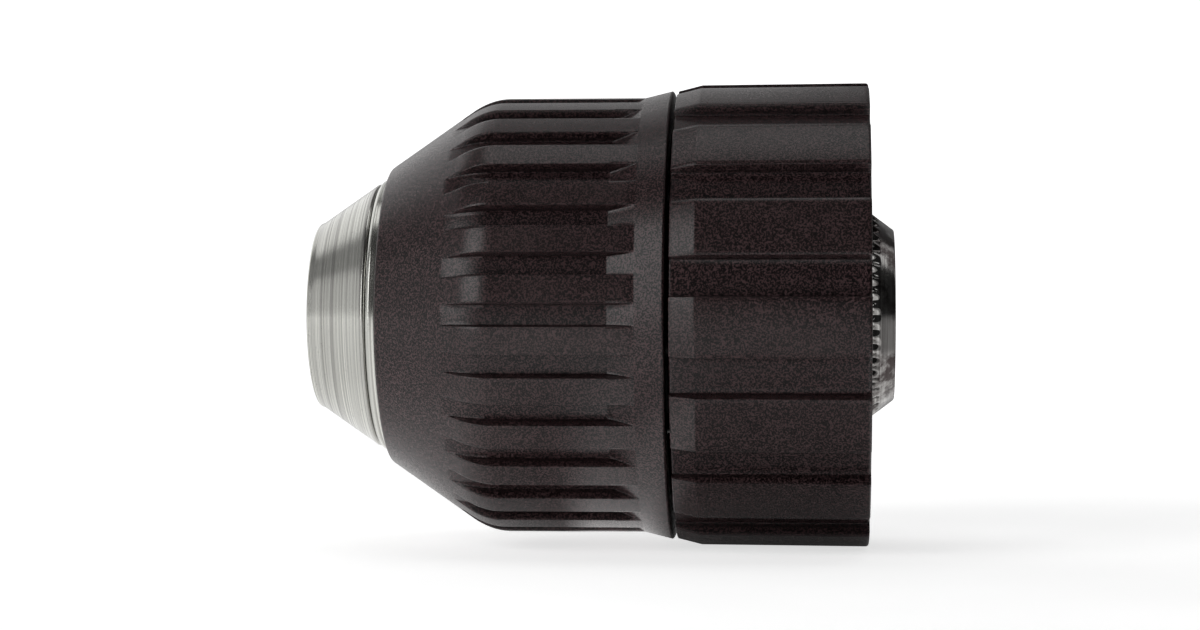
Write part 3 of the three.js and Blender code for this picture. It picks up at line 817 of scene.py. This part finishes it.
def jaw(k):
    """A ground jaw with its gripping wedge, its teeth and small bevels."""
    angle = 2 * math.pi * k / 3
    piece = jaw_rod(f"jaw_{k + 1}_ground", JAW_R, TAIL_Y, TIP_Y + 4, angle, 64, DARK)
    cut(piece, [jaw_sector(angle)], "INTERSECT")
    cut(piece, [tooth_gaps(angle)])
    bevel = piece.modifiers.new("bevel", "BEVEL")
    bevel.width = 0.00009
    bevel.segments = 2
    bevel.limit_method = "ANGLE"
    bevel.angle_limit = rad(32)
    bpy.context.view_layer.objects.active = piece
    bpy.ops.object.modifier_apply(modifier=bevel.name)
    piece.data.shade_smooth()
    piece.data.set_sharp_from_angle(angle=rad(32))
    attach(piece, "jaw_" + "abc"[k])
    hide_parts(f"jaw_{k + 1}")


# ------------------------------------------------------------------ hidden internals


def dress_internals():
    """Materials for the CAD nodes that stay: races, nut, band, cage and balls."""
    looks = {
        "rear_race": GROUND,
        "front_race": GROUND,
        "nut_half_a": DARK,
        "nut_half_b": DARK,
        "nut_band": TURNED,
        "ball_cage": BRASS,
    }
    looks.update({f"ball_{k:02d}": GROUND for k in range(1, 13)})
    for node, material in looks.items():
        for obj in bpy.data.objects:
            if obj.type == "MESH" and obj.name == node:
                obj.data.materials.clear()
                obj.data.materials.append(material)


front_sleeve()
rear_sleeve()
body()
nose_ring()
for index in range(3):
    jaw(index)
dress_internals()

# ------------------------------------------------------------------ studio


MIDDLE = (-0.027, 0, 0)
FLOOR_HALF_WIDTH = 4.0
BACKDROP_Y = 0.9
BACKDROP_RADIUS = 0.6


def floor():
    """A pale floor that curves up into a backdrop behind the part.

    To the camera it glows more towards the back. To other rays it glows in three patches,
    ahead of the nose, under the seam between the sleeves and behind the tail.
    """
    material, tree, shader = new_material("studio_floor")
    n = Nodes(tree)
    cloud = n.noise(n.coords((1, 1, 1)), 30, 3.0, 0.5)
    pale = n.ramp(cloud, [(0.3, (0.84, 0.84, 0.84)), (0.7, (0.88, 0.88, 0.88))])
    n.link(pale, shader.inputs["Base Color"])
    shader.inputs["Roughness"].default_value = 0.9
    shader.inputs["Specular IOR Level"].default_value = 0.1
    split = n.add("ShaderNodeSeparateXYZ")
    n.link(n.add("ShaderNodeTexCoord").outputs["Object"], split.inputs["Vector"])
    along, depth = split.outputs["X"], split.outputs["Y"]
    seen = n.add("ShaderNodeLightPath").outputs["Is Camera Ray"]

    def patch(rise, fall):
        """Glow between two places along the chuck; each is from, to, and its two values."""
        return n.math("MULTIPLY", n.spread(along, *rise), n.spread(along, *fall))

    ahead = patch((-0.075, -0.055, 0.52, 0.80), (-0.050, -0.026, 1.0, 0.06))
    behind = patch((-0.001, 0.006, 0.0, 0.9), (0.024, 0.036, 1.0, 0.0))
    behind = n.math("MULTIPLY", behind, n.spread(depth, 0.02, 0.05, 1.0, 0.0))
    under = patch((-0.0305, -0.0275, 0.0, 1.3), (-0.0235, -0.0205, 1.0, 0.0))
    under = n.math("MULTIPLY", under, n.spread(depth, 0.03, 0.05, 1.0, 0.0))
    near = n.math("ADD", n.math("ADD", ahead, behind), under)
    far = n.spread(depth, 0.05, 0.70, 0.76, 1.30)
    glow = n.add("ShaderNodeMix", data_type="FLOAT")
    n.link(seen, glow.inputs["Factor"])
    n.link(near, glow.inputs["A"])
    n.link(far, glow.inputs["B"])
    n.link(pale, shader.inputs["Emission Color"])
    n.link(glow.outputs["Result"], shader.inputs["Emission Strength"])
    rest_z = CAD_LOW[2]
    profile = [(-3.0, 0.0), (0.0, 0.0), (BACKDROP_Y, 0.0)]
    for a in np.linspace(0, 90, 25)[1:]:
        y = BACKDROP_Y + BACKDROP_RADIUS * math.sin(rad(a))
        profile.append((y, BACKDROP_RADIUS - BACKDROP_RADIUS * math.cos(rad(a))))
    profile.append((BACKDROP_Y + BACKDROP_RADIUS, 3.0))
    edges = (-FLOOR_HALF_WIDTH, FLOOR_HALF_WIDTH)
    verts = [(x, y, rest_z + z) for y, z in profile for x in edges]
    faces = [(2 * k, 2 * k + 1, 2 * k + 3, 2 * k + 2) for k in range(len(profile) - 1)]
    mesh = bpy.data.meshes.new("studio_floor")
    mesh.from_pydata(verts, [], faces)
    mesh.shade_smooth()
    mesh.materials.append(material)
    plane = bpy.data.objects.new("studio_floor", mesh)
    bpy.context.scene.collection.objects.link(plane)
    plane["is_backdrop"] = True


def softbox(name, place, width, height, radiance):
    """A rectangular light of a given brightness, facing the part's middle."""
    light = bpy.data.lights.new(name, "AREA")
    light.shape = "RECTANGLE"
    light.size, light.size_y = width, height
    light.energy = radiance * math.pi * width * height
    lamp = bpy.data.objects.new(name, light)
    bpy.context.scene.collection.objects.link(lamp)
    lamp.location = place
    direction = Vector(MIDDLE) - Vector(place)
    lamp.rotation_euler = direction.to_track_quat("-Z", "Y").to_euler()


def around(azimuth, elevation, distance):
    """A place seen from the part's middle, azimuth degrees to the nose side of the camera."""
    a, e = rad(azimuth), rad(elevation)
    return (
        MIDDLE[0] - distance * math.sin(a) * math.cos(e),
        -distance * math.cos(a) * math.cos(e),
        distance * math.sin(e),
    )


def studio():
    """Floor, a white world that lights only faintly, and soft rectangular lights."""
    floor()
    scene = bpy.context.scene
    scene.view_settings.view_transform = "Standard"
    world = bpy.data.worlds.new("studio")
    scene.world = world
    world.use_nodes = True
    tree = world.node_tree
    n = Nodes(tree)
    background = tree.nodes["Background"]
    background.inputs["Color"].default_value = (0.03, 0.03, 0.03, 1)
    background.inputs["Strength"].default_value = 1.0
    white = n.add("ShaderNodeBackground")
    white.inputs["Color"].default_value = (1, 1, 1, 1)
    white.inputs["Strength"].default_value = 1.0
    path = n.add("ShaderNodeLightPath")
    mix = n.add("ShaderNodeMixShader")
    n.link(path.outputs["Is Camera Ray"], mix.inputs[0])
    n.link(background.outputs[0], mix.inputs[1])
    n.link(white.outputs[0], mix.inputs[2])
    n.link(mix.outputs[0], tree.nodes["World Output"].inputs["Surface"])
    softbox("key", around(43, 12, 0.75), 0.42, 0.95, 2.95)
    softbox("left", around(82, 1, 0.70), 0.36, 0.58, 0.58)
    softbox("rim", around(134, 22, 0.85), 0.80, 0.80, 0.41)
    softbox("fill", around(88, 33, 0.80), 0.30, 0.22, 0.25)
    softbox("top", (-0.03, 0.05, 0.70), 0.6, 0.3, 1.2)
    softbox("right", around(-110, 33, 0.9), 0.4, 0.36, 0.8)


def camera():
    """Level with the axis and turned slightly towards the nose."""
    data = bpy.data.cameras.new("camera")
    data.sensor_width = 36
    distance = 0.260
    pixels_per_mm = 10.74
    data.lens = pixels_per_mm * distance * 1000 * data.sensor_width / 1200
    view = bpy.data.objects.new("camera", data)
    bpy.context.scene.collection.objects.link(view)
    view.location = (-0.00737, -distance, 0.0)
    direction = Vector((-0.02727, 0, 0)) - Vector(view.location)
    view.rotation_euler = direction.to_track_quat("-Z", "Y").to_euler()
    bpy.context.scene.camera = view


studio()
camera()
